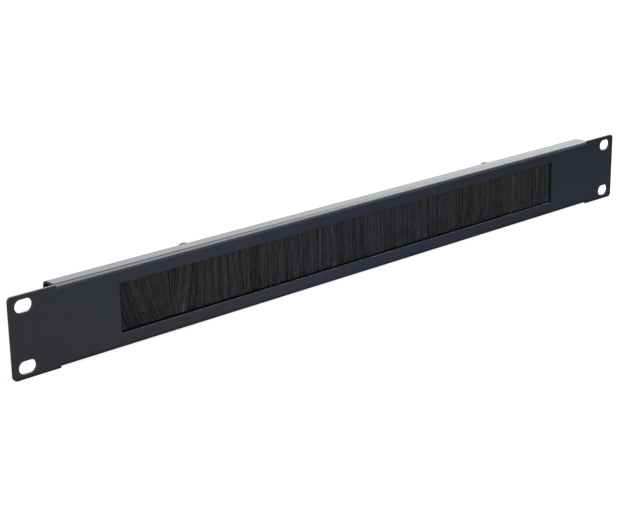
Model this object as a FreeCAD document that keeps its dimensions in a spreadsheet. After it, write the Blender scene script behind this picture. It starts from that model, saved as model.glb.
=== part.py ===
import FreeCAD, Part
import Sketcher
import math
import os

# Rack brush strip panel, one rack unit high
#
# A folded sheet with two rack ears carries an extruded bar behind its upper border.
# The bar grips a folded channel, and the channel grips the bristles that hang down
# behind the window. Two screws hold the bar to the sheet's upper rear lip.
#
# X runs along the panel, Y goes back into the rack and Z is up.
# The origin is the middle of the four rack slots, on the front face.

# Driving dimensions, in millimetres
DIMENSIONS = {
    # rack slots, and how far their centres lie from the sheet's edges
    "slot_spacing": 465.1,
    "slot_rise": 31.75,
    "slot_length": 10.4,
    "slot_width": 6.8,
    "slot_side_margin": 8.75,
    "slot_edge_margin": 5.875,
    # folded sheet
    "sheet_thickness": 1.2,
    "ear_length": 28.1,
    "ear_corner_radius": 2.5,
    "flange_depth": 12.0,
    "lip_height": 9.5,
    "bend_inner_radius": 1.8,
    "relief_width": 0.2,
    "relief_overrun": 0.1,
    # borders of the window, from the ends of the folds and from the upper and lower edge
    "window_side_border": 37.7,
    "window_edge_border": 8.25,
    # holder bar
    "bar_overhang": 3.0,
    "bar_height": 8.3,
    "bar_depth": 6.0,
    "bar_top_gap": 0.4,
    "bar_hook": 0.5,
    "bar_corner_radius": 0.4,
    # folded channel, with the gap that lets it slide into the bar
    "channel_width": 3.2,
    "channel_height": 2.5,
    "channel_wall": 0.4,
    "slide_gap": 0.1,
    # wire that the bristles are folded over, and how round that fold is, where 1 is a half circle
    "wire_diameter": 0.9,
    "fold_roundness": 0.8,
    # bristles, which reach past the window's ends and lower edge
    "brush_side_overlap": 7.5,
    "tip_overlap": 0.6,
    "packing_gap": 0.04,
    "tip_spread": 3.6,
    "tuft_pitch": 1.8,
    "tuft_gap": 0.6,
    # pan head screws
    "screw_inset": 63.0,
    "screw_drop": 4.6,
    "screw_diameter": 4.0,
    "screw_length": 8.0,
    "screw_clearance": 0.5,
    "head_diameter": 8.0,
    "head_height": 3.0,
    "head_dome_radius": 1.5,
    "recess_span": 4.4,
    "recess_width": 1.1,
    "recess_depth": 1.6,
    "thread_gap": 0.05,
    "thread_tip_chamfer": 0.5,
}

SHEET_NAME = "Dimensions"

doc = FreeCAD.newDocument("RackBrushStripPanel")
sheet = doc.addObject("Spreadsheet::Sheet", SHEET_NAME)
for row, (alias, number) in enumerate(DIMENSIONS.items(), start=1):
    sheet.set("A" + str(row), alias)
    sheet.set("B" + str(row), str(number))
    sheet.setAlias("B" + str(row), alias)
doc.recompute()


def size(alias):
    """The number that the sheet holds under this alias."""
    return float(getattr(sheet, alias))


def formula(text):
    """Put the sheet's name before every alias in a formula."""
    words = text.split()
    return " ".join(SHEET_NAME + "." + word if word in DIMENSIONS else word for word in words)


def value(text):
    """The number that a formula of aliases comes to."""
    return float(sheet.evalExpression(formula(text)))


# Sketch helpers

def origin_plane(body, role):
    """One of the body's own three origin planes."""
    for feature in body.Origin.OriginFeatures:
        if feature.Role == role:
            return feature
    raise ValueError("no origin plane " + role)


def new_sketch(body, name, role, offset="0"):
    """An empty sketch on an origin plane, moved along that plane's normal."""
    sketch = body.newObject("Sketcher::SketchObject", name)
    sketch.AttachmentSupport = (origin_plane(body, role), [""])
    sketch.MapMode = "FlatFace"
    if offset != "0":
        sketch.setExpression(".AttachmentOffset.Base.z", formula(offset))
    return sketch


def pin_point(sketch, line, end, horizontal, vertical):
    """Hold one end of a line at two formulas, measured from the sketch's origin."""
    for kind, text in (("DistanceX", horizontal), ("DistanceY", vertical)):
        index = sketch.addConstraint(Sketcher.Constraint(kind, -1, 1, line, end, value(text)))
        sketch.setExpression("Constraints[" + str(index) + "]", formula(text))


def add_polygon(sketch, corners):
    """A closed outline of straight lines, each corner given by two formulas."""
    points = [FreeCAD.Vector(value(across), value(up), 0) for across, up in corners]
    lines = []
    for start, end in zip(points, points[1:] + points[:1]):
        lines.append(sketch.addGeometry(Part.LineSegment(start, end), False))
    for line, following in zip(lines, lines[1:] + lines[:1]):
        sketch.addConstraint(Sketcher.Constraint("Coincident", line, 2, following, 1))
    for line, (across, up) in zip(lines, corners):
        pin_point(sketch, line, 1, across, up)
    return lines


def add_rectangle(sketch, left, bottom, right, top):
    """A rectangle between four formulas."""
    return add_polygon(sketch, [(left, bottom), (right, bottom), (right, top), (left, top)])


def add_circle(sketch, across, up, radius):
    """A circle with its centre and radius given by formulas."""
    centre = FreeCAD.Vector(value(across), value(up), 0)
    circle = Part.Circle(centre, FreeCAD.Vector(0, 0, 1), value(radius))
    index = sketch.addGeometry(circle, False)
    pin_point(sketch, index, 3, across, up)
    held = sketch.addConstraint(Sketcher.Constraint("Radius", index, value(radius)))
    sketch.setExpression("Constraints[" + str(held) + "]", formula(radius))


def add_slot(sketch, across, up, length, width):
    """A slot along the sketch's first axis, with round ends."""
    reach = "( " + length + " - " + width + " ) / 2"
    radius = value(width) / 2
    middle_left = value(across) - value(reach)
    middle_right = value(across) + value(reach)
    height = value(up)
    axis = FreeCAD.Vector(0, 0, 1)
    quarter = math.pi / 2
    right_end = Part.Circle(FreeCAD.Vector(middle_right, height, 0), axis, radius)
    left_end = Part.Circle(FreeCAD.Vector(middle_left, height, 0), axis, radius)
    right = sketch.addGeometry(Part.ArcOfCircle(right_end, -quarter, quarter), False)
    left = sketch.addGeometry(Part.ArcOfCircle(left_end, quarter, 3 * quarter), False)
    upper = sketch.addGeometry(
        Part.LineSegment(
            FreeCAD.Vector(middle_right, height + radius, 0),
            FreeCAD.Vector(middle_left, height + radius, 0),
        ),
        False,
    )
    lower = sketch.addGeometry(
        Part.LineSegment(
            FreeCAD.Vector(middle_left, height - radius, 0),
            FreeCAD.Vector(middle_right, height - radius, 0),
        ),
        False,
    )
    sketch.addConstraint(Sketcher.Constraint("Tangent", right, 2, upper, 1))
    sketch.addConstraint(Sketcher.Constraint("Tangent", upper, 2, left, 1))
    sketch.addConstraint(Sketcher.Constraint("Tangent", left, 2, lower, 1))
    sketch.addConstraint(Sketcher.Constraint("Tangent", lower, 2, right, 1))
    pin_point(sketch, right, 3, across + " + " + reach, up)
    pin_point(sketch, left, 3, across + " - " + reach, up)
    held = sketch.addConstraint(Sketcher.Constraint("Radius", right, radius))
    sketch.setExpression("Constraints[" + str(held) + "]", formula(width + " / 2"))


# Feature helpers

def new_body(name):
    """A body whose label is the sub-part's name."""
    body = doc.addObject("PartDesign::Body", name)
    body.Label = name
    return body


def finish_feature(body, feature):
    """Rebuild, and make the feature the body's latest state."""
    body.Tip = feature
    doc.recompute()
    return feature


def pad(body, name, sketch, length, reversed_way=False, midplane=False):
    """Thicken a sketch by a formula."""
    feature = body.newObject("PartDesign::Pad", name)
    feature.Profile = sketch
    feature.setExpression("Length", formula(length))
    feature.Reversed = reversed_way
    feature.Midplane = midplane
    return finish_feature(body, feature)


def pocket(body, name, sketch, depth, reversed_way=False):
    """Cut a sketch into the body by a formula, and prove that it removed something."""
    before = body.Shape.Volume
    feature = body.newObject("PartDesign::Pocket", name)
    feature.Profile = sketch
    feature.setExpression("Length", formula(depth))
    feature.Reversed = reversed_way
    finish_feature(body, feature)
    if not feature.Shape.Volume < before:
        raise ValueError(name + " cuts nothing")
    return feature


def mirror(body, name, originals, role):
    """Repeat features on the other side of an origin plane."""
    feature = body.newObject("PartDesign::Mirrored", name)
    feature.Originals = originals
    feature.MirrorPlane = (origin_plane(body, role), [""])
    return finish_feature(body, feature)


def straight_edges(shape, direction, places, plane):
    """Names of the straight edges along a direction that pass through given places.

    plane names the two coordinates that a place gives, such as "yz".
    """
    found = []
    for number, edge in enumerate(shape.Edges, start=1):
        if not isinstance(edge.Curve, Part.Line):
            continue
        along = edge.Vertexes[1].Point - edge.Vertexes[0].Point
        if along.cross(direction).Length > 0.001 * along.Length:
            continue
        point = edge.Vertexes[0].Point
        here = [getattr(point, letter) for letter in plane]
        for place in places:
            if math.dist(here, place) < 0.01:
                found.append("Edge" + str(number))
    return found


def fillet(body, name, edges, radius):
    """Round named edges by a formula."""
    base = body.Tip
    feature = body.newObject("PartDesign::Fillet", name)
    feature.Base = (base, edges)
    feature.setExpression("Radius", formula(radius))
    return finish_feature(body, feature)


# Sizes and places that several pieces share, as formulas of the dimensions

# The slots set the sheet's outline, the ears leave the fold, and the fold sets the window
PANEL_WIDTH = "( slot_spacing + 2 * slot_side_margin )"
PANEL_HEIGHT = "( slot_rise + 2 * slot_edge_margin )"
FOLD_LENGTH = "( " + PANEL_WIDTH + " - 2 * ear_length )"
WINDOW_WIDTH = "( " + FOLD_LENGTH + " - 2 * window_side_border )"
WINDOW_HEIGHT = "( " + PANEL_HEIGHT + " - 2 * window_edge_border )"

# The brush covers the window, the bar is a little longer, and the screws stand in from its ends
BRUSH_LENGTH = "( " + WINDOW_WIDTH + " + 2 * brush_side_overlap )"
BAR_LENGTH = "( " + BRUSH_LENGTH + " + 2 * bar_overhang )"
SCREW_PLACE = "( " + BAR_LENGTH + " / 2 - screw_inset )"
SCREW_HEIGHT = "( " + PANEL_HEIGHT + " / 2 - screw_drop )"

# The bar stands against the upper lip, just under the upper flange
BAR_REAR = "( flange_depth - sheet_thickness )"
BAR_TOP = "( " + PANEL_HEIGHT + " / 2 - sheet_thickness - bar_top_gap )"
BAR_BOTTOM = "( " + BAR_TOP + " - bar_height )"
BRUSH_DEPTH = "( " + BAR_REAR + " - bar_depth / 2 )"

# The channel lies on the hooks of the bar's groove
CHANNEL_BOTTOM = "( " + BAR_BOTTOM + " + bar_hook + slide_gap / 2 )"

# The bristles hang from the channel to just below the window
BRISTLE_DROP = "( " + CHANNEL_BOTTOM + " + " + WINDOW_HEIGHT + " / 2 + tip_overlap )"

# The bristles' folded root fills the channel, and the wire lies in that fold
ROOT_HALF = "( channel_width / 2 - channel_wall - packing_gap )"
FOLD_RADIUS = "( " + ROOT_HALF + " * fold_roundness )"
ROOT_TOP = "( " + CHANNEL_BOTTOM + " + channel_height - channel_wall - packing_gap )"
WIRE_HEIGHT = "( " + ROOT_TOP + " - " + ROOT_HALF + " )"


ALONG_X = FreeCAD.Vector(1, 0, 0)
ALONG_Y = FreeCAD.Vector(0, 1, 0)


# Front panel: one folded sheet

def is_fold_edge(shape, name):
    """True for an edge of the fold, which is shorter than the panel and longer than an ear."""
    edge = shape.getElement(name)
    return math.isclose(edge.Length, value(FOLD_LENGTH), abs_tol=0.01)


def make_front_panel():
    """Flat blank, folded flanges and lips, then the window, slots and screw holes."""
    body = new_body("front_panel")
    half_width = PANEL_WIDTH + " / 2"
    half_height = PANEL_HEIGHT + " / 2"
    fold_start = half_height + " - bend_inner_radius - sheet_thickness - relief_overrun"
    half_fold = FOLD_LENGTH + " / 2"

    outline = new_sketch(body, "blank_outline", "XZ_Plane")
    add_rectangle(outline, "0 - " + half_width, "0 - " + half_height, half_width, half_height)
    pad(body, "blank", outline, "sheet_thickness", reversed_way=True)

    # The blank is notched between the ears, with a narrow relief at each end of the fold
    notch_outline = new_sketch(body, "fold_notch_outline", "XZ_Plane")
    notch_end = half_fold + " + relief_width"
    notch_top = half_height + " + sheet_thickness"
    add_rectangle(notch_outline, "0 - ( " + notch_end + " )", fold_start, notch_end, notch_top)
    notch = pocket(body, "fold_notch", notch_outline, "sheet_thickness")

    # The fold's section: up the face, back along the flange and down the rear lip
    inner_depth = "flange_depth - sheet_thickness"
    inner_height = half_height + " - sheet_thickness"
    lip_end = half_height + " - lip_height"
    fold_outline = new_sketch(body, "fold_section", "YZ_Plane")
    add_polygon(fold_outline, [
        ("0", fold_start),
        ("0", half_height),
        ("flange_depth", half_height),
        ("flange_depth", lip_end),
        (inner_depth, lip_end),
        (inner_depth, inner_height),
        ("sheet_thickness", inner_height),
        ("sheet_thickness", fold_start),
    ])
    fold = pad(body, "fold", fold_outline, FOLD_LENGTH, midplane=True)
    mirror(body, "lower_fold", [notch, fold], "XY_Plane")

    top = value(half_height)
    depth = size("flange_depth")
    outer_corners = [(y, z) for y in (0.0, depth) for z in (-top, top)]
    folds = straight_edges(body.Shape, ALONG_X, outer_corners, "yz")
    folds = [name for name in folds if is_fold_edge(body.Shape, name)]
    fillet(body, "outer_bends", folds, "bend_inner_radius + sheet_thickness")
    wall = size("sheet_thickness")
    inner_corners = [(y, z) for y in (wall, depth - wall) for z in (wall - top, top - wall)]
    folds = straight_edges(body.Shape, ALONG_X, inner_corners, "yz")
    fillet(body, "inner_bends", folds, "bend_inner_radius")

    window_outline = new_sketch(body, "window_outline", "XZ_Plane")
    half_window = WINDOW_WIDTH + " / 2"
    half_opening = WINDOW_HEIGHT + " / 2"
    add_rectangle(
        window_outline, "0 - " + half_window, "0 - " + half_opening, half_window, half_opening
    )
    pocket(body, "window", window_outline, "sheet_thickness")

    slot_outline = new_sketch(body, "slot_outline", "XZ_Plane")
    for side in ("0 - ", "0 + "):
        add_slot(
            slot_outline, "slot_spacing / 2", side + "slot_rise / 2", "slot_length", "slot_width"
        )
    slots = pocket(body, "right_slots", slot_outline, "sheet_thickness")
    mirror(body, "left_slots", [slots], "YZ_Plane")

    hole_outline = new_sketch(body, "screw_hole_outline", "XZ_Plane", "0 - flange_depth")
    radius = "( screw_diameter + screw_clearance ) / 2"
    add_circle(hole_outline, SCREW_PLACE, SCREW_HEIGHT, radius)
    through = "sheet_thickness + bend_inner_radius"
    hole = pocket(body, "right_screw_hole", hole_outline, through, reversed_way=True)
    mirror(body, "left_screw_hole", [hole], "YZ_Plane")

    side = value(half_width)
    ear_corners = [(x, z) for x in (-side, side) for z in (-top, top)]
    corners = straight_edges(body.Shape, ALONG_Y, ear_corners, "xz")
    fillet(body, "ear_corners", corners, "ear_corner_radius")
    return body


# Holder bar: extruded section with a hooked groove along its lower edge

def make_holder_bar():
    """The bar stands against the upper lip and holds the channel in its groove."""
    body = new_body("holder_bar")
    groove_half = "( channel_width + slide_gap ) / 2"
    mouth_half = "( channel_width / 2 - channel_wall )"
    groove_bottom = BAR_BOTTOM + " + bar_hook"
    groove_top = groove_bottom + " + channel_height + slide_gap"
    front = BAR_REAR + " - bar_depth"
    section = new_sketch(body, "bar_section", "YZ_Plane")
    add_polygon(section, [
        (front, BAR_BOTTOM),
        (BRUSH_DEPTH + " - " + mouth_half, BAR_BOTTOM),
        (BRUSH_DEPTH + " - " + mouth_half, groove_bottom),
        (BRUSH_DEPTH + " - " + groove_half, groove_bottom),
        (BRUSH_DEPTH + " - " + groove_half, groove_top),
        (BRUSH_DEPTH + " + " + groove_half, groove_top),
        (BRUSH_DEPTH + " + " + groove_half, groove_bottom),
        (BRUSH_DEPTH + " + " + mouth_half, groove_bottom),
        (BRUSH_DEPTH + " + " + mouth_half, BAR_BOTTOM),
        (BAR_REAR, BAR_BOTTOM),
        (BAR_REAR, BAR_TOP),
        (front, BAR_TOP),
    ])
    pad(body, "bar", section, BAR_LENGTH, midplane=True)

    # One corner lies in the sheet's upper rear bend, so it is rounded more than the others
    bend_corner = [(value(BAR_REAR), value(BAR_TOP))]
    edges = straight_edges(body.Shape, ALONG_X, bend_corner, "yz")
    fillet(body, "bend_corner", edges, "bend_inner_radius + bar_top_gap")
    free_corners = [
        (value(front), value(BAR_TOP)),
        (value(front), value(BAR_BOTTOM)),
        (value(BAR_REAR), value(BAR_BOTTOM)),
    ]
    edges = straight_edges(body.Shape, ALONG_X, free_corners, "yz")
    fillet(body, "free_corners", edges, "bar_corner_radius")

    holes = new_sketch(body, "thread_outline", "XZ_Plane", "0 - " + BAR_REAR)
    add_circle(holes, SCREW_PLACE, SCREW_HEIGHT, "screw_diameter / 2 + thread_gap")
    hole = pocket(body, "right_thread", holes, "bar_depth", reversed_way=True)
    mirror(body, "left_thread", [hole], "YZ_Plane")
    return body


# Folded channel that grips the bristles

def make_brush_channel():
    """A strip of thin steel folded into a U, open downwards."""
    body = new_body("brush_channel")
    outer = "channel_width / 2"
    inner = "( channel_width / 2 - channel_wall )"
    top = CHANNEL_BOTTOM + " + channel_height"
    inner_top = top + " - channel_wall"
    section = new_sketch(body, "channel_section", "YZ_Plane")
    add_polygon(section, [
        (BRUSH_DEPTH + " - " + outer, CHANNEL_BOTTOM),
        (BRUSH_DEPTH + " - " + inner, CHANNEL_BOTTOM),
        (BRUSH_DEPTH + " - " + inner, inner_top),
        (BRUSH_DEPTH + " + " + inner, inner_top),
        (BRUSH_DEPTH + " + " + inner, CHANNEL_BOTTOM),
        (BRUSH_DEPTH + " + " + outer, CHANNEL_BOTTOM),
        (BRUSH_DEPTH + " + " + outer, top),
        (BRUSH_DEPTH + " - " + outer, top),
    ])
    pad(body, "channel", section, BRUSH_LENGTH, midplane=True)

    middle = value(BRUSH_DEPTH)
    outer_places = [(middle + side * value(outer), value(top)) for side in (-1, 1)]
    edges = straight_edges(body.Shape, ALONG_X, outer_places, "yz")
    fillet(body, "outer_folds", edges, FOLD_RADIUS + " + packing_gap + channel_wall")
    inner_places = [(middle + side * value(inner), value(inner_top)) for side in (-1, 1)]
    edges = straight_edges(body.Shape, ALONG_X, inner_places, "yz")
    fillet(body, "inner_folds", edges, FOLD_RADIUS + " + packing_gap")
    return body


# Core wire

def make_core_wire():
    """The wire lies in the fold of the bristles, along the whole brush."""
    wire = doc.addObject("Part::Cylinder", "core_wire")
    wire.Label = "core_wire"
    wire.setExpression("Radius", formula("wire_diameter / 2"))
    wire.setExpression("Height", formula(BRUSH_LENGTH))
    wire.Placement.Rotation = FreeCAD.Rotation(ALONG_Y, 90)
    wire.setExpression(".Placement.Base.x", formula("0 - " + BRUSH_LENGTH + " / 2"))
    wire.setExpression(".Placement.Base.y", formula(BRUSH_DEPTH))
    wire.setExpression(".Placement.Base.z", formula(WIRE_HEIGHT))
    doc.recompute()
    return wire


# Bristles: a root folded over the wire, and three combs of hanging tufts

# Comb rows from front to rear, and the share of the left end's splay that each one has
COMB_ROWS = (-1, 0, 1)
SPLAY_SHARE = {-1: 1.0, 0: 0.5, 1: 0.0}

# The splay turns over once within this reach, and dies away over this distance
SPLAY_REACH = 75.0
SPLAY_FADE = 60.0
SPLAY_LEAN = 8.8

# Shares of the gap that tips wander by, and of the drop that slits reach down from the root
TIP_WANDER = 0.25
SLIT_TOP = 0.12
SLIT_WANDER = 0.06

# Steps between tufts of three waves that never quite repeat
LEAN_STEP = 2.4
TIP_STEP = 1.7
SLIT_STEP = 3.1
TIP_UNEVENNESS = 0.25


def tuft_lean(place, number, row):
    """How far a tuft's tip stands off to one side, in millimetres.

    The tufts at the left end are splayed towards each other, most of all in the
    front comb, and the rest wander a little by a rule that never quite repeats.
    The lean stays well inside the gap between two tips, so tufts never cross.
    """
    gap = size("tuft_gap")
    wander = TIP_WANDER * gap * math.sin(LEAN_STEP * number + row)
    from_end = place + value(BRUSH_LENGTH) / 2
    strength = SPLAY_LEAN * SPLAY_SHARE[row] * gap / size("tuft_pitch")
    fade = math.exp(-from_end / SPLAY_FADE)
    return wander + strength * fade * math.cos(math.pi * from_end / SPLAY_REACH)


def make_comb(row):
    """One curtain of tufts, slit upwards from its tips and slanted away from the middle."""
    pitch = size("tuft_pitch")
    gap = size("tuft_gap")
    drop = value(BRISTLE_DROP)
    bottom = value(CHANNEL_BOTTOM)
    thickness = 2 * value(ROOT_HALF) / len(COMB_ROWS)
    root_depth = value(BRUSH_DEPTH) + row * thickness - thickness / 2
    tip_shift = row * ((size("tip_spread") - thickness) / 2 - thickness)
    count = int(value(BRUSH_LENGTH) / pitch) - 1
    start = -count * pitch / 2 + row * pitch / len(COMB_ROWS)

    def point(across, below):
        """A point of the comb's slanted front face, at a height below the channel."""
        depth = root_depth + tip_shift * below / drop
        return FreeCAD.Vector(across, depth, bottom - below)

    outline = [point(start, 0)]
    for number in range(count):
        left = start + number * pitch
        lean = tuft_lean(left, number, row)
        tip = drop + TIP_UNEVENNESS * math.sin(TIP_STEP * number + row)
        outline.append(point(left + gap / 2 + lean, tip))
        outline.append(point(left + pitch - gap / 2 + lean, tip))
        if number < count - 1:
            wave = math.sin(SLIT_STEP * number + row)
            slit_top = drop * (SLIT_TOP + SLIT_WANDER * wave)
            outline.append(point(left + pitch, slit_top))
    outline.append(point(start + count * pitch, 0))
    outline.append(outline[0])
    face = Part.Face(Part.makePolygon(outline))
    return face.extrude(FreeCAD.Vector(0, thickness, 0))


def make_root():
    """The packed roots inside the channel, with the hollow where the wire lies."""
    half = value(ROOT_HALF)
    top = value(ROOT_TOP)
    bottom = value(CHANNEL_BOTTOM)
    middle = value(BRUSH_DEPTH)
    length = value(BRUSH_LENGTH)
    root = Part.makeBox(
        length, 2 * half, top - bottom, FreeCAD.Vector(-length / 2, middle - half, bottom)
    )
    folds = []
    for edge in root.Edges:
        point = edge.Vertexes[0].Point
        if abs(edge.Length - length) < 0.01 and abs(point.z - top) < 0.01:
            folds.append(edge)
    root = root.makeFillet(value(FOLD_RADIUS), folds)
    hollow = Part.makeCylinder(
        size("wire_diameter") / 2 + size("packing_gap"),
        length,
        FreeCAD.Vector(-length / 2, middle, value(WIRE_HEIGHT)),
        ALONG_X,
    )
    return root.cut(hollow)


def make_bristles():
    """Three combs, staggered so that each covers the next one's slits, on one root."""
    bristles = doc.addObject("Part::Feature", "bristles")
    bristles.Label = "bristles"
    bristles.Shape = make_root().fuse([make_comb(row) for row in COMB_ROWS])
    bristles.Placement = FreeCAD.Placement()
    return bristles


# Pan head screws

def make_screw(name, side):
    """A pan head screw that enters from behind, through the lip and into the bar."""
    body = new_body(name)
    shank_radius = "( screw_diameter / 2 )"
    head_radius = "( head_diameter / 2 )"
    chamfer = "thread_tip_chamfer"
    profile = new_sketch(body, name + "_profile", "XZ_Plane")
    add_polygon(profile, [
        ("0", "0 - screw_length"),
        (shank_radius + " - " + chamfer, "0 - screw_length"),
        (shank_radius, "0 - screw_length + " + chamfer),
        (shank_radius, "0"),
        (head_radius, "0"),
        (head_radius, "head_height"),
        ("0", "head_height"),
    ])
    turned = body.newObject("PartDesign::Revolution", name + "_turned")
    turned.Profile = profile
    turned.ReferenceAxis = (profile, ["V_Axis"])
    turned.Angle = 360
    finish_feature(body, turned)

    rim = []
    for number, edge in enumerate(body.Shape.Edges, start=1):
        if not isinstance(edge.Curve, Part.Circle):
            continue
        if abs(edge.Curve.Center.z - size("head_height")) < 0.01:
            rim.append("Edge" + str(number))
    fillet(body, name + "_dome", rim, "head_dome_radius")

    cross = new_sketch(body, name + "_cross", "XY_Plane", "head_height")
    arm = "recess_span / 2"
    thin = "recess_width / 2"
    add_polygon(cross, [
        ("0 - " + arm, "0 - " + thin),
        ("0 - " + thin, "0 - " + thin),
        ("0 - " + thin, "0 - " + arm),
        (thin, "0 - " + arm),
        (thin, "0 - " + thin),
        (arm, "0 - " + thin),
        (arm, thin),
        (thin, thin),
        (thin, arm),
        ("0 - " + thin, arm),
        ("0 - " + thin, thin),
        ("0 - " + arm, thin),
    ])
    pocket(body, name + "_recess", cross, "recess_depth")

    body.Placement.Rotation = FreeCAD.Rotation(ALONG_X, -90)
    body.setExpression(".Placement.Base.x", formula(side + SCREW_PLACE))
    body.setExpression(".Placement.Base.y", formula("flange_depth"))
    body.setExpression(".Placement.Base.z", formula(SCREW_HEIGHT))
    doc.recompute()
    return body


def check_document(parts):
    """Stop if any object failed, or if a sub-part is empty or broken."""
    for thing in doc.Objects:
        if "Invalid" in thing.State or "Error" in thing.State:
            raise ValueError(thing.Name + " failed: " + str(thing.State))
    for part in parts:
        if part.Shape.isNull() or not part.Shape.isValid():
            raise ValueError(part.Label + " has no valid shape")


sub_parts = [
    make_front_panel(),
    make_holder_bar(),
    make_brush_channel(),
    make_core_wire(),
    make_bristles(),
    make_screw("screw_left", "0 - "),
    make_screw("screw_right", "0 + "),
]
doc.recompute()
check_document(sub_parts)

os.makedirs("parts", exist_ok=True)
for part in sub_parts:
    part.Shape.exportStep("parts/" + part.Label + ".step")
    box = part.Shape.BoundBox
    print(part.Label, len(part.Shape.Solids), "solid(s)", round(part.Shape.Volume, 1), "mm3")
    print("  x", round(box.XMin, 2), round(box.XMax, 2), end="")
    print("  y", round(box.YMin, 2), round(box.YMax, 2), end="")
    print("  z", round(box.ZMin, 2), round(box.ZMax, 2))
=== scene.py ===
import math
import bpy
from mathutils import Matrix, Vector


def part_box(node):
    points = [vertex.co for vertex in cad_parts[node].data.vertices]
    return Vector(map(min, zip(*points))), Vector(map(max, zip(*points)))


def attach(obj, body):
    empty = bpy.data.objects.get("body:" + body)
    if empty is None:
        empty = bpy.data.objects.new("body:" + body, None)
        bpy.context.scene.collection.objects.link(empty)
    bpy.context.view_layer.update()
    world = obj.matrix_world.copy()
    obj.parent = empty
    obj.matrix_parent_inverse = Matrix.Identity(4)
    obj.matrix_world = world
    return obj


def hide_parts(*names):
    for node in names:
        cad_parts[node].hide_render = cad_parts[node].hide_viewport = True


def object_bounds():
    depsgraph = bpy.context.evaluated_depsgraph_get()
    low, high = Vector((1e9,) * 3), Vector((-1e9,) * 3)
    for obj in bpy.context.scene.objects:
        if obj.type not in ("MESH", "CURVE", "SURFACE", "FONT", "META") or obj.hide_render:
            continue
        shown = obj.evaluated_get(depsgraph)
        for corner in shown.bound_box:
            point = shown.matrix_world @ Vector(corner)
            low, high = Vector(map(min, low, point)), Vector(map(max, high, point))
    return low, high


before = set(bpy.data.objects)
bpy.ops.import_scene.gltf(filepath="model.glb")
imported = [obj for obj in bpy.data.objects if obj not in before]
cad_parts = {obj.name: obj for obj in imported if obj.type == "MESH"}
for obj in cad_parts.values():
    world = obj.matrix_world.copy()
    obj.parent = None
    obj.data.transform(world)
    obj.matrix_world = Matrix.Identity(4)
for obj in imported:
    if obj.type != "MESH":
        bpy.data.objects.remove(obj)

# %% [markdown]
# The object is a rack brush panel: a folded and powder coated steel sheet with a long
# window, and a strip of black bristles that hangs down behind that window. It closes a
# place in a rack and still lets cables through. The frame brings each rigid piece at its
# real size and place, so this file gives every piece its finish, and makes the soft
# bristles filament by filament. All lengths are in metres. X runs along the panel, Y
# goes back into the rack, and Z is up.

# %% Tools and the size of the whole object
from types import SimpleNamespace

import bpy
from mathutils import Matrix, Vector

MM = 0.001
BODY = "root"

cad_low, cad_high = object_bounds()
print("the object spans", [round(v / MM, 1) for v in cad_high - cad_low], "mm")


# %% [markdown]
# A camera can be placed by eye, or worked out. This one was worked out from the four rack
# slots, whose spacing is standard: the heading, tilt, roll, distance and focal length that
# put all four where they belong are written here. A camera that isn't turned looks
# straight down, so a quarter turn first lifts it to the horizon.

# %% Camera
CAMERA_PLACE = Vector((-0.6093, -0.6094, 0.2578))
CAMERA_HEADING = math.radians(42.87)
CAMERA_DOWN = math.radians(17.371)
CAMERA_ROLL = math.radians(-0.95)
CAMERA_FOCAL_MM = 89.48
CAMERA_NEAR, CAMERA_FAR = 0.01, 50.0
QUARTER_TURN = math.radians(90)


def make_camera():
    """A camera that looks along its heading, tilted down and rolled a little."""
    data = bpy.data.cameras.new("camera")
    data.lens = CAMERA_FOCAL_MM
    data.clip_start = CAMERA_NEAR
    data.clip_end = CAMERA_FAR
    camera = bpy.data.objects.new("camera", data)
    bpy.context.scene.collection.objects.link(camera)
    heading = Matrix.Rotation(-CAMERA_HEADING, 4, "Z")
    tilt = Matrix.Rotation(QUARTER_TURN - CAMERA_DOWN, 4, "X")
    roll = Matrix.Rotation(CAMERA_ROLL, 4, "Z")
    camera.matrix_world = Matrix.Translation(CAMERA_PLACE) @ heading @ tilt @ roll
    bpy.context.scene.camera = camera
    return camera


camera = make_camera()
print("camera", [round(v, 3) for v in camera.location], "focal length", CAMERA_FOCAL_MM)


# %% [markdown]
# Materials and geometry trees are built from nodes. They could be drawn by hand in the
# editor, but a script that builds them can be read, changed and run again. A few small
# helpers keep it short. The first ones add a node and set its inputs, and an input may be
# a number or the output of another node.

# %% Node helpers
def set_input(tree, socket, value):
    """Link an output to this input, or set its value."""
    if isinstance(value, bpy.types.NodeSocket):
        tree.links.new(value, socket)
    else:
        socket.default_value = value


def add_node(tree, kind, inputs=None, **settings):
    """A new node, with its settings and its inputs by name or number."""
    node = tree.nodes.new(kind)
    for name, value in settings.items():
        setattr(node, name, value)
    for name, value in (inputs or {}).items():
        set_input(tree, node.inputs[name], value)
    return node


def start_material(name):
    """A new material and its empty node tree."""
    material = bpy.data.materials.new(name)
    material.use_nodes = True
    material.node_tree.nodes.clear()
    return material, material.node_tree


def own_place(tree):
    """A point's place in the piece's own coordinates, in metres."""
    return add_node(tree, "ShaderNodeTexCoord").outputs["Object"]


print("node helpers ready")


# %% [markdown]
# The other helpers work on values: one sum, a value moved from one range to another, and
# a mix of two values or of two colours.

# %% Sums and mixes
WHITE_COLOUR = (1.0, 1.0, 1.0, 1.0)


def compute(tree, operation, first, second=0.0, third=0.0):
    """The output of one Math node."""
    inputs = {0: first, 1: second, 2: third}
    return add_node(tree, "ShaderNodeMath", inputs, operation=operation).outputs[0]


def remap(tree, value, low, high, new_low, new_high, smooth=False):
    """A value moved from one range to another, and kept inside it."""
    node = add_node(
        tree,
        "ShaderNodeMapRange",
        {"Value": value, "From Min": low, "From Max": high, "To Min": new_low, "To Max": new_high},
        interpolation_type="SMOOTHSTEP" if smooth else "LINEAR",
    )
    return node.outputs["Result"]


def mix_values(tree, factor, first, second):
    """A value between two others."""
    node = add_node(tree, "ShaderNodeMix", {"Factor": factor, "A": first, "B": second})
    return node.outputs["Result"]


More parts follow.
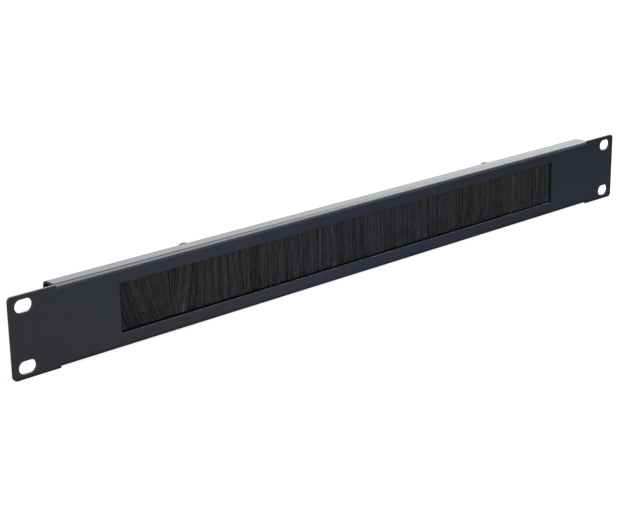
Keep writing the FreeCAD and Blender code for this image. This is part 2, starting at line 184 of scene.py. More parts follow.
def mix_colours(tree, factor, first, second, clamped=True):
    """A colour between two others, or past the second one where the factor isn't clamped."""
    node = add_node(
        tree,
        "ShaderNodeMix",
        {"Factor": factor, "A": first, "B": second},
        data_type="RGBA",
        clamp_factor=clamped,
    )
    return node.outputs["Result"]


print("sums and mixes ready")


# %% [markdown]
# A black part is lit by what it mirrors. The front mirrors the floor before it, so the
# floor's colour decides how grey or blue the front looks. Cards on the floor could do
# that, or many weak lamps. Here the floor's own material does it: a mirrored ray sees a
# glow by place, bluer in the middle and darker to the right, which paints the front's
# reflection, and dimmer close under the object, a painted shadow seen only in mirrors.
# The camera's rays see a white glow, which gives the white background. Rays of soft light
# see neither, so neither one lights the object, and its shadow stays on the floor.

# %% What the floor and the room show
# What the room gives: to the camera, in mirrors and as light on the object
ROOM_TO_CAMERA, ROOM_IN_MIRRORS, ROOM_LIGHT = 1.0, 0.8, 0.2

# The floor's glow for the camera: distance from the object's middle, and strength
FLOOR_GLOW_TO_CAMERA = ((0.5, 0.87), (2.0, 0.98))

# The floor's glow in mirrors, a painted reflection on the front: place from left to
# right, and colour
FLOOR_GLOW_IN_MIRRORS = [
    (-0.20, (0.48, 0.47, 0.42)),
    (-0.11, (0.47, 0.47, 0.46)),
    (-0.04, (0.45, 0.44, 0.64)),
    (0.06, (0.30, 0.31, 0.48)),
    (0.15, (0.23, 0.24, 0.28)),
    (0.35, (0.12, 0.12, 0.12)),
]

# The painted shadow in mirrors: what is left of that glow close under the object, and
# where it rises to the whole of it
FLOOR_CONTACT_GLOW = 0.3
FLOOR_CONTACT_REACH = (7.0 * MM, 13.0 * MM)

# What the floor returns of the lamps' light: to the camera, in mirrors and to the rest
FLOOR_RETURN_TO_CAMERA, FLOOR_RETURN_IN_MIRRORS, FLOOR_RETURN = 0.2, 0.02, 0.5


def camera_and_mirror_rays(tree):
    """Two masks: one for the camera's rays, one for mirrored and refracted ones."""
    path = add_node(tree, "ShaderNodeLightPath")
    glossy, through = path.outputs["Is Glossy Ray"], path.outputs["Is Transmission Ray"]
    return path.outputs["Is Camera Ray"], compute(tree, "MAXIMUM", glossy, through)


def value_by_ray(tree, rays, to_camera, in_mirrors, otherwise):
    """One value for the camera's rays, one for mirrors' rays and one for all others."""
    direct, mirrored = rays
    value = remap(tree, mirrored, 0.0, 1.0, otherwise, in_mirrors)
    return compute(tree, "MULTIPLY_ADD", direct, to_camera - otherwise, value)


print("rays are told apart as camera, mirror and other rays")


# %% [markdown]
# A colour by place could come from an image. A ramp needs none: it holds a row of colours
# and mixes them softly in between.

# %% Colour from left to right
# A new stop may start anywhere, because each is then moved to its own place
ANYWHERE = 0.5


def colour_ramp(tree, across, stops):
    """A colour read from a row of colours at a place from left to right."""
    left, right = stops[0][0], stops[-1][0]
    share = remap(tree, across, left, right, 0.0, 1.0)
    ramp = add_node(tree, "ShaderNodeValToRGB", {"Fac": share})
    elements = ramp.color_ramp.elements
    while len(elements) < len(stops):
        elements.new(ANYWHERE)
    for element, (stop, colour) in zip(elements, stops):
        element.position = (stop - left) / (right - left)
        element.color = (*colour, 1.0)
    return ramp.outputs["Color"]


print("the floor glows in", len(FLOOR_GLOW_IN_MIRRORS), "colours from left to right")


# %% [markdown]
# To the camera, the glow is a little weaker near the object, where the lamps' light on the
# floor is added to it, so that both together are white and the shadow still shows. In
# mirrors it is painted weaker close under the object, by distance alone: a painted shadow
# where a real floor gets hardly any light.

# %% Glow of the floor
def floor_glow(tree, rays):
    """The colour and the strength of the light that the floor gives by itself."""
    direct, mirrored = rays
    place = own_place(tree)
    split = add_node(tree, "ShaderNodeSeparateXYZ", {"Vector": place})
    away = add_node(tree, "ShaderNodeVectorMath", {0: place}, operation="LENGTH").outputs["Value"]
    (near, near_glow), (far, far_glow) = FLOOR_GLOW_TO_CAMERA
    to_camera = remap(tree, away, near, far, near_glow, far_glow)

    object_middle = (cad_low.y + cad_high.y) / 2
    from_object = compute(tree, "SUBTRACT", split.outputs["Y"], object_middle)
    from_object = compute(tree, "ABSOLUTE", from_object)
    dark, light = FLOOR_CONTACT_REACH
    # Painted shadow: the glow in mirrors is dimmed close under the object, by distance alone
    painted_contact_shadow = remap(tree, from_object, dark, light, FLOOR_CONTACT_GLOW, 1.0, smooth=True)
    to_mirrors = compute(tree, "MULTIPLY", mirrored, painted_contact_shadow)

    strength = compute(tree, "MULTIPLY_ADD", direct, to_camera, to_mirrors)
    in_mirrors = colour_ramp(tree, split.outputs["X"], FLOOR_GLOW_IN_MIRRORS)
    return mix_colours(tree, mirrored, WHITE_COLOUR, in_mirrors), strength


print("glow of the floor ready")


# %% [markdown]
# The floor is one wide square at the height of the panel's lowest edge, so the panel
# stands on it. Its material adds the glow to a matt surface, which takes the shadow.

# %% Floor
FLOOR_HALF = 12.0
FLOOR_CORNERS = ((-1, -1), (1, -1), (1, 1), (-1, 1))


def make_floor_material():
    """A matt floor that also glows, but only for the camera and in mirrors."""
    material, tree = start_material("pale_floor")
    rays = camera_and_mirror_rays(tree)
    colour, strength = floor_glow(tree, rays)
    returned = value_by_ray(
        tree, rays, FLOOR_RETURN_TO_CAMERA, FLOOR_RETURN_IN_MIRRORS, FLOOR_RETURN
    )
    emission = add_node(tree, "ShaderNodeEmission", {"Color": colour, "Strength": strength})
    matt = add_node(tree, "ShaderNodeBsdfDiffuse", {"Color": returned})
    shown = add_node(tree, "ShaderNodeAddShader", {0: emission.outputs[0], 1: matt.outputs[0]})
    add_node(tree, "ShaderNodeOutputMaterial", {"Surface": shown.outputs[0]})
    return material


def make_floor():
    """A wide square under the object."""
    mesh = bpy.data.meshes.new("floor")
    corners = [(x * FLOOR_HALF, y * FLOOR_HALF, cad_low.z) for x, y in FLOOR_CORNERS]
    mesh.from_pydata(corners, [], [(0, 1, 2, 3)])
    mesh.materials.append(make_floor_material())
    floor = bpy.data.objects.new("floor", mesh)
    bpy.context.scene.collection.objects.link(floor)


make_floor()
print("floor at", round(cad_low.z / MM, 2), "mm")


# %% [markdown]
# The room is the world behind the floor. It could be a picture of a studio, but a plain
# colour is enough: white to the camera, bright in mirrors, and dim as light on the
# object, so that the lamps decide how the shapes look.

# %% Room
def make_room():
    """A plain room: dim light for the object, white to the camera."""
    world = bpy.data.worlds.new("plain_room")
    world.use_nodes = True
    tree = world.node_tree
    tree.nodes.clear()
    rays = camera_and_mirror_rays(tree)
    strength = value_by_ray(tree, rays, ROOM_TO_CAMERA, ROOM_IN_MIRRORS, ROOM_LIGHT)
    inputs = {"Color": WHITE_COLOUR, "Strength": strength}
    background = add_node(tree, "ShaderNodeBackground", inputs)
    add_node(tree, "ShaderNodeOutputWorld", {"Surface": background.outputs[0]})
    bpy.context.scene.world = world


make_room()
print("room light", ROOM_LIGHT)


# %% [markdown]
# Satin paint shows each lamp as a soft streak. The upper flange, seen at a slant, mirrors
# the wide lamp low behind the object and turns light grey. The bend before it mirrors the
# two lamps above: the left one in its left half, and the right one in its right half. The
# fourth lamp shines on the bristles from the front. Small lamps would give as much light
# but hard streaks, so all four are wide area lamps, in colours close to white.

# %% Lamps
WHITE, SOFT_WHITE, LILAC = (0.98, 1.0, 1.01), (0.99, 0.983, 1.02), (1.0, 0.98, 1.02)
# Each lamp: name, middle, point that it faces, width, height, watts, colour
LAMPS = [
    ("lamp_above_left", (0.45, -0.14, 0.90), (0.45, -0.14, 0.0), 0.8, 0.78, 9.6, LILAC),
    ("lamp_above_right", (1.50, 0.17, 0.90), (1.50, 0.17, 0.0), 1.3, 1.02, 24.2, WHITE),
    ("lamp_behind", (0.95, 1.22, 0.66), (0.95, 0.0, 0.26), 2.1, 0.98, 8.4, SOFT_WHITE),
    ("lamp_front", (-1.6, -1.8, 0.7), (0.0, 0.0, 0.0), 1.2, 1.2, 26.0, WHITE),
]


def make_lamp(name, place, aim, width, height, watts, colour):
    """A soft rectangular lamp that the camera doesn't see."""
    data = bpy.data.lights.new(name, "AREA")
    data.shape = "RECTANGLE"
    data.size = width
    data.size_y = height
    data.energy = watts
    data.color = colour
    lamp = bpy.data.objects.new(name, data)
    bpy.context.scene.collection.objects.link(lamp)
    lamp.location = place
    lamp.rotation_euler = (Vector(aim) - Vector(place)).to_track_quat("-Z", "Y").to_euler()
    lamp.visible_camera = False


for settings in LAMPS:
    make_lamp(*settings)
print(len(LAMPS), "lamps")


# %% [markdown]
# Several finishes share the same small effects, so each effect is a node group with named
# inputs, built once and placed in each material with its own values. A group only gives
# masks, heights and normals. The shader itself stays in each material.

# %% Start of a shader group
def start_group(name, inputs, outputs):
    """An empty shader group with named sockets: returns it with its input and output nodes."""
    group = bpy.data.node_groups.new(name, "ShaderNodeTree")
    for socket_name, kind, value in inputs:
        socket = group.interface.new_socket(socket_name, in_out="INPUT", socket_type=kind)
        socket.default_value = value
    for socket_name, kind in outputs:
        group.interface.new_socket(socket_name, in_out="OUTPUT", socket_type=kind)
    return group, add_node(group, "NodeGroupInput"), add_node(group, "NodeGroupOutput")


print("shader groups can be started")


# %% [markdown]
# Grain is the fine unevenness of every real surface: the orange peel of paint, the lines
# of drawn metal. A photo of such a surface could be laid on, but noise needs no image and
# has no seams. Two noises are mixed, one about eight times as coarse as the other, and
# both can be drawn out along an axis.

# %% Grain
COARSE_SCALE = 0.12
FINE_NOISE = {"Detail": 2.0, "Roughness": 0.6}
COARSE_NOISE = {"Detail": 3.0, "Roughness": 0.5}
# The part of the noise's range that is spread out to a full mask
NOISE_DARK, NOISE_LIGHT = 0.3, 0.7


def make_grain_group():
    """Fine and coarse noise on the piece's own coordinates, stretched as asked."""
    group, given, result = start_group(
        "grain",
        [
            ("Size", "NodeSocketFloat", 0.001),
            ("Stretch", "NodeSocketVector", (1.0, 1.0, 1.0)),
            ("Coarse Share", "NodeSocketFloat", 0.3),
        ],
        [("Mask", "NodeSocketFloat"), ("Height", "NodeSocketFloat")],
    )
    inputs = {0: own_place(group), 1: given.outputs["Stretch"]}
    drawn = add_node(group, "ShaderNodeVectorMath", inputs, operation="DIVIDE").outputs[0]
    scale = compute(group, "DIVIDE", 1.0, given.outputs["Size"])
    inputs = {"Vector": drawn, "Scale": scale, **FINE_NOISE}
    fine = add_node(group, "ShaderNodeTexNoise", inputs).outputs["Fac"]
    scale = compute(group, "MULTIPLY", scale, COARSE_SCALE)
    inputs = {"Vector": drawn, "Scale": scale, **COARSE_NOISE}
    coarse = add_node(group, "ShaderNodeTexNoise", inputs).outputs["Fac"]
    blend = mix_values(group, given.outputs["Coarse Share"], fine, coarse)
    mask = remap(group, blend, NOISE_DARK, NOISE_LIGHT, 0.0, 1.0)
    set_input(group, result.inputs["Mask"], mask)
    set_input(group, result.inputs["Height"], fine)
    return group


def place_grain(tree, size, stretch, coarse_share):
    """The grain group in a material, with its own values."""
    texture = add_node(tree, "ShaderNodeGroup", node_tree=GRAIN)
    texture.inputs["Size"].default_value = size
    texture.inputs["Stretch"].default_value = stretch
    texture.inputs["Coarse Share"].default_value = coarse_share
    return texture


GRAIN = make_grain_group()
print("shader group:", GRAIN.name)


# %% [markdown]
# No real edge is perfectly sharp: a coat of powder or a deburring tool rounds it, and the
# rounding catches the light from above. A Bevel modifier would tear the frame's loose
# triangles apart, so the rounding is a normal that turns smoothly over the edge. Where
# it leaves the flat normal there is an edge, and the mask is strongest where a face
# looks up. The finishes paint a lighter colour by this mask: a painted highlight of the
# light from above.

# %% Soft edge
BEVEL_SAMPLES = 4
# The match of both normals, from a full edge to none: 1 means the same direction
EDGE_FULL, EDGE_NONE = 0.75, 0.99
# How far a face looks up, from the side's share of the mask to the whole of it: the
# painted edge highlight is strongest where light from above falls
LOOKS_ASIDE, LOOKS_UP = 0.1, 0.8


def make_soft_edge_group():
    """A normal that turns smoothly over sharp edges, and a mask of where it does, strongest on
    faces that look up, for a painted highlight.
    """
    group, given, result = start_group(
        "soft_edge",
        [("Width", "NodeSocketFloat", 0.0003), ("Side Share", "NodeSocketFloat", 0.02)],
        [("Edge", "NodeSocketFloat"), ("Normal", "NodeSocketVector")],
    )
    inputs = {"Radius": given.outputs["Width"]}
    rounded = add_node(group, "ShaderNodeBevel", inputs, samples=BEVEL_SAMPLES).outputs["Normal"]
    flat = add_node(group, "ShaderNodeNewGeometry").outputs["Normal"]
    match = add_node(group, "ShaderNodeVectorMath", {0: rounded, 1: flat}, operation="DOT_PRODUCT")
    edge = remap(group, match.outputs["Value"], EDGE_FULL, EDGE_NONE, 1.0, 0.0)
    # Painted highlight: the edge mask grows where a face looks up, as if lit from above
    facing = add_node(group, "ShaderNodeSeparateXYZ", {"Vector": flat}).outputs["Z"]
    share = remap(group, facing, LOOKS_ASIDE, LOOKS_UP, given.outputs["Side Share"], 1.0)
    set_input(group, result.inputs["Edge"], compute(group, "MULTIPLY", edge, share))
    set_input(group, result.inputs["Normal"], rounded)
    return group


SOFT_EDGE = make_soft_edge_group()
print("shader group:", SOFT_EDGE.name)


# %% [markdown]
# The hard finishes follow one recipe. The grain mask moves the colour between two near
# shades and the roughness between two values, the grain height makes a very shallow bump,
# and the soft edge feeds the bump's own normal. The edge mask also paints a lighter colour
# on the edges: a painted highlight, strongest where a face looks up. What differs is the
# size and the stretch of the grain, how rough the surface is, and the painted edge colour.

# %% Finish builder
def make_finish(name, shades, roughness, grain, bump, edge, metallic=0.0):
    """A material from two shades, two roughnesses, a grain, a bump height, and an edge width with
    its painted highlight colour.
    """
    material, tree = start_material(name)
    edge_width, painted_edge_highlight = edge
    texture = place_grain(tree, *grain)
    rim = add_node(tree, "ShaderNodeGroup", node_tree=SOFT_EDGE)
    rim.inputs["Width"].default_value = edge_width
    dark, light = [(*shade, 1.0) for shade in shades]
    colour = mix_colours(tree, texture.outputs["Mask"], dark, light)
    # Painted highlight: the edges take a lighter colour by the edge mask
    colour_with_painted_edge_highlight = mix_colours(tree, rim.outputs["Edge"], colour, (*painted_edge_highlight, 1.0))
    smooth, dull = roughness
    rough = remap(tree, texture.outputs["Mask"], 0.0, 1.0, smooth, dull)
    relief = add_node(
        tree,
        "ShaderNodeBump",
        {
            "Height": texture.outputs["Height"],
            "Distance": bump,
            "Strength": 1.0,
            "Normal": rim.outputs["Normal"],
        },
    )
    shader = add_node(
        tree,
        "ShaderNodeBsdfPrincipled",
        {
            "Base Color": colour_with_painted_edge_highlight,
            "Roughness": rough,
            "Metallic": metallic,
            "Normal": relief.outputs["Normal"],
        },
    )
    add_node(tree, "ShaderNodeOutputMaterial", {"Surface": shader.outputs[0]})
    return material


print("finish builder ready")


# %% [markdown]
# Powder coat is sprayed on as a dry powder and baked. It flows into a skin about 70
# microns thick with a very fine orange peel, slightly blue black here, and it rounds off
# every cut edge. A displaced mesh could show the peel, but it is far too fine for that, so
# a fine grain with a bump of about a micron gives that skin.

# %% Powder coat
powder_coat = make_finish(
    "satin_powder_coat",
    ((0.0114, 0.0152, 0.0258), (0.0122, 0.0162, 0.0274)),
    roughness=(0.205, 0.225),
    grain=(0.3 * MM, (1.0, 1.0, 1.0), 0.35),
    bump=0.0012 * MM,
    # The cut edges take a much lighter colour: a painted highlight of the light from above
    edge=(0.55 * MM, (0.165, 0.17, 0.19)),
)
print(powder_coat.name)


# %% [markdown]
# The holder bar is extruded aluminium. The press leaves long faint lines along it, so its
# grain is drawn out along X.

# %% Extruded aluminium
ALONG_THE_PANEL = (60.0, 1.0, 1.0)
bar_finish = make_finish(
    "extruded_aluminium",
    ((0.50, 0.51, 0.52), (0.66, 0.67, 0.68)),
    roughness=(0.30, 0.45),
    grain=(0.3 * MM, ALONG_THE_PANEL, 0.4),
    bump=0.004 * MM,
    edge=(0.15 * MM, (0.75, 0.76, 0.77)),
    metallic=1.0,
)
print(bar_finish.name)


# %% [markdown]
# The channel that grips the bristles is folded from galvanised strip. Molten zinc cools
# in broad dull spangles, so this grain is large and hardly drawn out.

# %% Galvanised strip
channel_finish = make_finish(
    "galvanised_strip",
    ((0.36, 0.38, 0.40), (0.56, 0.58, 0.60)),
    roughness=(0.34, 0.52),
    grain=(1.2 * MM, (1.6, 1.0, 1.0), 0.6),
    bump=0.003 * MM,
    edge=(0.08 * MM, (0.62, 0.63, 0.64)),
    metallic=1.0,
)
print(channel_finish.name)


# %% [markdown]
# The core wire was pulled through a die, which leaves fine streaks along its length.

# %% Drawn wire
wire_finish = make_finish(
    "drawn_wire",
    ((0.36, 0.36, 0.37), (0.52, 0.52, 0.53)),
    roughness=(0.28, 0.42),
    grain=(0.15 * MM, ALONG_THE_PANEL, 0.3),
    bump=0.002 * MM,
    edge=(0.05 * MM, (0.6, 0.6, 0.6)),
    metallic=1.0,
)
print(wire_finish.name)


# %% [markdown]
# The two screws are zinc plated. Bright zinc would flash against the black panel, and
# these are set to a dull dark grey, so both shades are low.

# %% Zinc plate
screw_finish = make_finish(
    "zinc_plate",
    ((0.09, 0.09, 0.092), (0.12, 0.12, 0.122)),
    roughness=(0.20, 0.28),
    grain=(0.35 * MM, (1.0, 1.0, 1.0), 0.5),
    bump=0.002 * MM,
    edge=(0.12 * MM, (0.16, 0.16, 0.163)),
    metallic=1.0,
)
print(screw_finish.name)


# %% [markdown]
# Each piece from the frame takes its finish in place of the plain material that it came
# with. The bristles aren't in the list, because they are made anew below.

# %% Finishes on the pieces
NODE_FINISHES = {
    "front_panel": powder_coat,
    "holder_bar": bar_finish,
    "brush_channel": channel_finish,
    "core_wire": wire_finish,
    "screw_left": screw_finish,
    "screw_right": screw_finish,
}
for node_name, finish in NODE_FINISHES.items():
    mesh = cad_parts[node_name].data
    mesh.materials.clear()
    mesh.materials.append(finish)
print("finished nodes:", sorted(NODE_FINISHES))


# %% [markdown]
# The bristles are nylon filaments, each bent double over the core wire, so that both ends
# hang down and the channel grips the bend. Flat cards with a picture of hair are the usual
# short cut, but they look like cards from the side. Thousands of filaments are one rule
# repeated, and that is what Geometry Nodes are for: a row of points along the wire, one
# short curve on each point, and a formula that moves the curve's points into a hanging
# loop. The sizes come from the frame, so the brush fits its wire and its channel.

# %% Sizes of the brush, from the frame
wire_low, wire_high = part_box("core_wire")
brush_low, brush_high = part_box("bristles")
wire_middle = (wire_low + wire_high) / 2
WIRE_RADIUS = (wire_high.z - wire_low.z) / 2
FILAMENT_THICKNESS = 0.24 * MM
# How near the middle of a filament comes to the wire, and to the top of the brush
CLEARANCE = 0.6 * FILAMENT_THICKNESS
LOOP_SMALLEST = WIRE_RADIUS + CLEARANCE
LOOP_LARGEST = brush_high.z - wire_middle.z - CLEARANCE
# The tips reach a little past the plain solid that they replace, and aren't cut level
TIP_REACH = 0.35 * MM
TIP_UNEVENNESS = 0.15 * MM
BRUSH_DROP = wire_middle.z - brush_low.z + TIP_REACH
TIP_HALF = (brush_high.y - brush_low.y) / 2 - 0.5 * FILAMENT_THICKNESS
print("loops from", round(LOOP_SMALLEST / MM, 2), "to", round(LOOP_LARGEST / MM, 2), "mm")
print("bristles hang", round(BRUSH_DROP / MM, 1), "mm below the wire")


# %% [markdown]
# Nylon is black all through, but a brush isn't one flat black: some filaments are duller,
# a few get a painted shine, and the tips are painted lighter towards the ends, to make up
# for the shade that falls on them. An image would have to be laid on every filament, and
# one number on each of them does the same. The geometry tree writes that number, called
# tone, and the material mixes two blacks by it. A tone above 1 goes past the lighter
# black, so the mix isn't clamped.

# %% Nylon
NYLON_DARK = (0.0040, 0.0040, 0.0046, 1.0)
NYLON_LIGHT = (0.0300, 0.0295, 0.0335, 1.0)
NYLON_GRAIN = (0.7 * MM, (1.0, 1.0, 6.0), 0.2)
NYLON_ROUGHNESS = (0.34, 0.52)
NYLON_SPECULAR = 0.4
# The grain makes the tone this much weaker or stronger
UNEVEN_TONE = (0.3, 1.7)
# Painted light at the tips: how far up it reaches, and how much it lifts the tone at the ends
PAINTED_TIP_LIGHT_REACH = 6.0 * MM
PAINTED_TIP_LIGHT = 2.2


def make_nylon():
    """Black nylon, a little lighter or duller from one filament to the next."""
    material, tree = start_material("black_nylon")
    mask = place_grain(tree, *NYLON_GRAIN).outputs["Mask"]
    tone = add_node(tree, "ShaderNodeAttribute", attribute_name="tone").outputs["Fac"]
    height = add_node(tree, "ShaderNodeSeparateXYZ", {"Vector": own_place(tree)}).outputs["Z"]
    # Painted light: the tone rises towards the tips, to make up for the shade there
    tip_start, tip_end = brush_low.z + PAINTED_TIP_LIGHT_REACH, brush_low.z
    painted_tip_light = remap(tree, height, tip_start, tip_end, 1.0, PAINTED_TIP_LIGHT, smooth=True)
    tone = compute(tree, "MULTIPLY", tone, painted_tip_light)
    tone = compute(tree, "MULTIPLY", tone, remap(tree, mask, 0.0, 1.0, *UNEVEN_TONE))
    colour = mix_colours(tree, tone, NYLON_DARK, NYLON_LIGHT, clamped=False)
    rough = remap(tree, mask, 0.0, 1.0, *NYLON_ROUGHNESS)
    shader = add_node(
        tree,
        "ShaderNodeBsdfPrincipled",
        {"Base Color": colour, "Roughness": rough, "Specular IOR Level": NYLON_SPECULAR},
    )
    add_node(tree, "ShaderNodeOutputMaterial", {"Surface": shader.outputs[0]})
    return material


nylon = make_nylon()
print(nylon.name)


# %% [markdown]
# Each loop has twelve points: five up the front leg, two over the wire, and five down the
# rear leg. A point's number along its curve gives both how far down its leg it lies and
# how far round the wire it has gone, so one formula shapes the whole loop.

# %% Points of one loop
LEG_POINTS = 5
ARC_POINTS = 2
LOOP_POINTS = 2 * LEG_POINTS + ARC_POINTS
LOOP_MIDDLE = (LOOP_POINTS - 1) / 2
ARC_HALF = (ARC_POINTS + 1) / 2


def leg_share(tree, number):
    """How far down its leg a point lies: 0 at the wire and 1 at the tip."""
    off = compute(tree, "ABSOLUTE", compute(tree, "SUBTRACT", number, LOOP_MIDDLE))
    return remap(tree, off, ARC_HALF, LOOP_MIDDLE, 0.0, 1.0)


def loop_angle(tree, number):
    """How far round the wire a point lies: pi on the front leg and 0 on the rear one."""
    return remap(tree, number, LOOP_MIDDLE - ARC_HALF, LOOP_MIDDLE + ARC_HALF, math.pi, 0.0)


print("a loop has", LOOP_POINTS, "points")


# %% [markdown]
# The left end of this strip was brushed aside: its tips lean to the right, then for a
# short way to the left, and where the lean turns the strip is thin and looks dark. A second
# graph paints that shade on the filaments there, and painted light at the very left end.
# The rest hangs straight. Curves can be combed by hand, but a graph along the strip says
# the same, can be read, and is easy to change.

# %% Graphs along the strip
# Distance from the left end of the brush and shift of the front tips to the right, in mm
SPLAY_GRAPH = [
    (0, 6.0), (10, 8.8), (20, 9.0), (30, 7.0), (38, 3.5), (46, 0.5), (51, -6.0), (58, -6.6),
    (63, -5.6), (65, -3.0), (67, -0.3), (76, 0.3), (86, -0.3), (98, 0.2), (112, 0.0),
]
SPLAY_LIMIT = 10.0
# The same distance and the painted light and shade on the filaments: shade at two thin
# places, light at the left end
PAINTED_LIGHT_AND_SHADE_GRAPH = [
    (0, 1.2), (9, 1.2), (12, 1.0), (15, 0.9), (18, 1.1), (46, 1.0), (49, 0.25), (51, 0.25),
    (53, 1.0), (60, 1.0), (61.5, 0.2), (64.5, 0.2), (66, 0.95), (112, 0.9),
]
PAINTED_LIGHT_AND_SHADE_LIMIT = 1.2
GRAPH_REACH = SPLAY_GRAPH[-1][0] * MM


def graph_along(tree, across, points, low, high):
    """A value read from a graph at a place along the brush, between these limits."""
    share = remap(tree, across, brush_low.x, brush_low.x + GRAPH_REACH, 0.0, 1.0)
    graph = add_node(tree, "ShaderNodeFloatCurve", {"Value": share})
    curve = graph.mapping.curves[0]
    while len(curve.points) < len(points):
        curve.points.new(ANYWHERE, ANYWHERE)
    for point, (place, value) in zip(curve.points, points):
        point.location = (place * MM / GRAPH_REACH, (value - low) / (high - low))
    graph.mapping.update()
    return remap(tree, graph.outputs[0], 0.0, 1.0, low, high)


print("graphs reach", GRAPH_REACH / MM, "mm along the brush")


# %% [markdown]
# Chance comes from white noise, which turns a number into a value that looks random but
# is the same on each run. Every filament has its own number, and each draw adds one more,
# so that a filament's lean says nothing about its tone. A rear leg and a rear tuft take
# numbers of their own too, because both legs of a loop hang freely.

# %% Chance
DRAWS = {
    "cling of a tuft": 11.0,
    "lean of a tuft": 23.0,
    "lean of a leg": 31.5,
    "which legs stray": 47.2,
    "how far they stray": 53.9,
    "depth of a tip": 61.1,
    "length of a leg": 71.7,
    "tone of a filament": 83.3,
    "which filaments shine": 89.9,
    "turn of a filament": 91.7,
    "tone of a tuft": 97.1,
}
# What a rear leg adds to its filament's number, to its tuft's number and to its place in
# the tufts' noise, and how many numbers each quarter of the brush has for itself
REAR_LEG_NUMBER = 0.37
REAR_TUFT_NUMBER = 1000.0
REAR_TUFT_PLACE = 7.3
NUMBERS_PER_QUARTER = 10000.0


def chance(tree, number, draw):
    """A fixed random value from 0 to 1 for each number."""
    inputs = {"W": compute(tree, "ADD", number, DRAWS[draw])}
    noise = add_node(tree, "ShaderNodeTexWhiteNoise", inputs, noise_dimensions="1D")
    return noise.outputs["Value"]


def chance_between(tree, number, draw, low, high):
    """A fixed random value between two limits for each number."""
    return remap(tree, chance(tree, number, draw), 0.0, 1.0, low, high)


print(len(DRAWS), "random draws")


# %% [markdown]
# Filaments cling together in tufts about a millimetre wide, and each tuft leans its own
# way. Random leans for every filament alone would give an even fur, and for tufts alone a
# row of teeth, so the brush has both. A slow noise moves the borders between the tufts, so
# that no two are equally wide.

# %% Tufts
TUFT_WIDTH = 1.1 * MM
TUFT_WARP = 3.0 * MM
WARP_NOISE = {"Scale": 110.0, "Detail": 1.0}
# How much a tuft's filaments close up at the tips at most, and how far a tuft leans
CLING_MOST = 0.7
TUFT_LEAN = 0.7 * MM


def tuft_at(tree, across, shift):
    """The number of the tuft at a place, and the place's offset from that tuft's middle."""
    inputs = {"W": compute(tree, "ADD", across, shift), **WARP_NOISE}
    warp = add_node(tree, "ShaderNodeTexNoise", inputs, noise_dimensions="1D").outputs[0]
    warped = compute(tree, "MULTIPLY_ADD", warp, TUFT_WARP, across)
    steps = compute(tree, "DIVIDE", warped, TUFT_WIDTH)
    number = compute(tree, "FLOOR", steps)
    inside = compute(tree, "SUBTRACT", steps, number)
    off_middle = compute(tree, "SUBTRACT", inside, 0.5)
    return number, compute(tree, "MULTIPLY", off_middle, TUFT_WIDTH)


def lean_with_tuft(tree, here):
    """The tip's shift towards its tuft's middle, and the way the whole tuft leans."""
    shift = compute(tree, "MULTIPLY", here.is_rear, REAR_TUFT_PLACE)
    tuft, offset = tuft_at(tree, here.across, shift)
    tuft = compute(tree, "MULTIPLY_ADD", here.is_rear, REAR_TUFT_NUMBER, tuft)
    cling = chance_between(tree, tuft, "cling of a tuft", 0.0, CLING_MOST)
    pull = compute(tree, "MULTIPLY", compute(tree, "MULTIPLY", offset, cling), -1.0)
    tuft_lean = chance_between(tree, tuft, "lean of a tuft", -TUFT_LEAN, TUFT_LEAN)
    return compute(tree, "ADD", pull, tuft_lean)


print("a tuft is about", TUFT_WIDTH / MM, "mm wide")


# %% [markdown]
# No filament is quite straight. Each could get a random bend at every point, but that
# looks like a zigzag. A slow noise, read along the way down, gives it a soft wave instead.

# %% Wander
WANDER = 0.7 * MM
WANDER_WAVES = 3.0
# How far apart in the noise two filaments wander, and the part of its range in use
WANDER_APART = 17.3
WANDER_LOW, WANDER_HIGH = 0.2, 0.8


def wander_on_the_way(tree, here):
    """The slow wandering of a filament from side to side."""
    start = compute(tree, "MULTIPLY", here.leg, WANDER_APART)
    inputs = {
        "W": compute(tree, "MULTIPLY_ADD", here.down, WANDER_WAVES, start),
        "Scale": 1.0,
        "Detail": 0.0,
    }
    noise = add_node(tree, "ShaderNodeTexNoise", inputs, noise_dimensions="1D").outputs[0]
    return remap(tree, noise, WANDER_LOW, WANDER_HIGH, -WANDER, WANDER)


print("filaments wander up to", WANDER / MM, "mm")


# %% [markdown]
# The front legs follow the splay of the graph, and the rear ones hardly, so that the
# straight bristles behind show through where the front ones are brushed aside.

# %% Splay
# The share of the splay that a rear leg and that an inner loop take
REAR_SPLAY = 0.12
INNER_SPLAY = 0.55


def lean_by_splay(tree, here, splay):
    """The shift that the graph asks for, less for rear legs and inner loops."""
    brushed = graph_along(tree, here.across, SPLAY_GRAPH, -SPLAY_LIMIT, SPLAY_LIMIT)
    brushed = compute(tree, "MULTIPLY", brushed, MM)
    brushed = compute(tree, "MULTIPLY", brushed, splay)
    leg_splay = remap(tree, here.is_rear, 0.0, 1.0, 1.0, REAR_SPLAY)
    layer_splay = remap(tree, here.layer, 0.0, 1.0, INNER_SPLAY, 1.0)
    share = compute(tree, "MULTIPLY", leg_splay, layer_splay)
    return compute(tree, "MULTIPLY", brushed, share)


print("a rear leg takes", REAR_SPLAY, "of the splay")


# %% [markdown]
# All leans add up: with the tuft, by wander, by splay, and the filament's own. Inner
# filaments, gripped closest to the wire, are held straighter than outer ones, and now and
# then one strays right out of its tuft. The sum grows slowly at first on the way down,
# because a filament leaves the channel straight.

# %% Place across the strip
OWN_LEAN = 1.1 * MM
INNER_LOOSENESS = 0.4
STRAY_SHARE = 0.04
STRAY_LEAN = 3.0 * MM
LEAN_POWER = 1.4


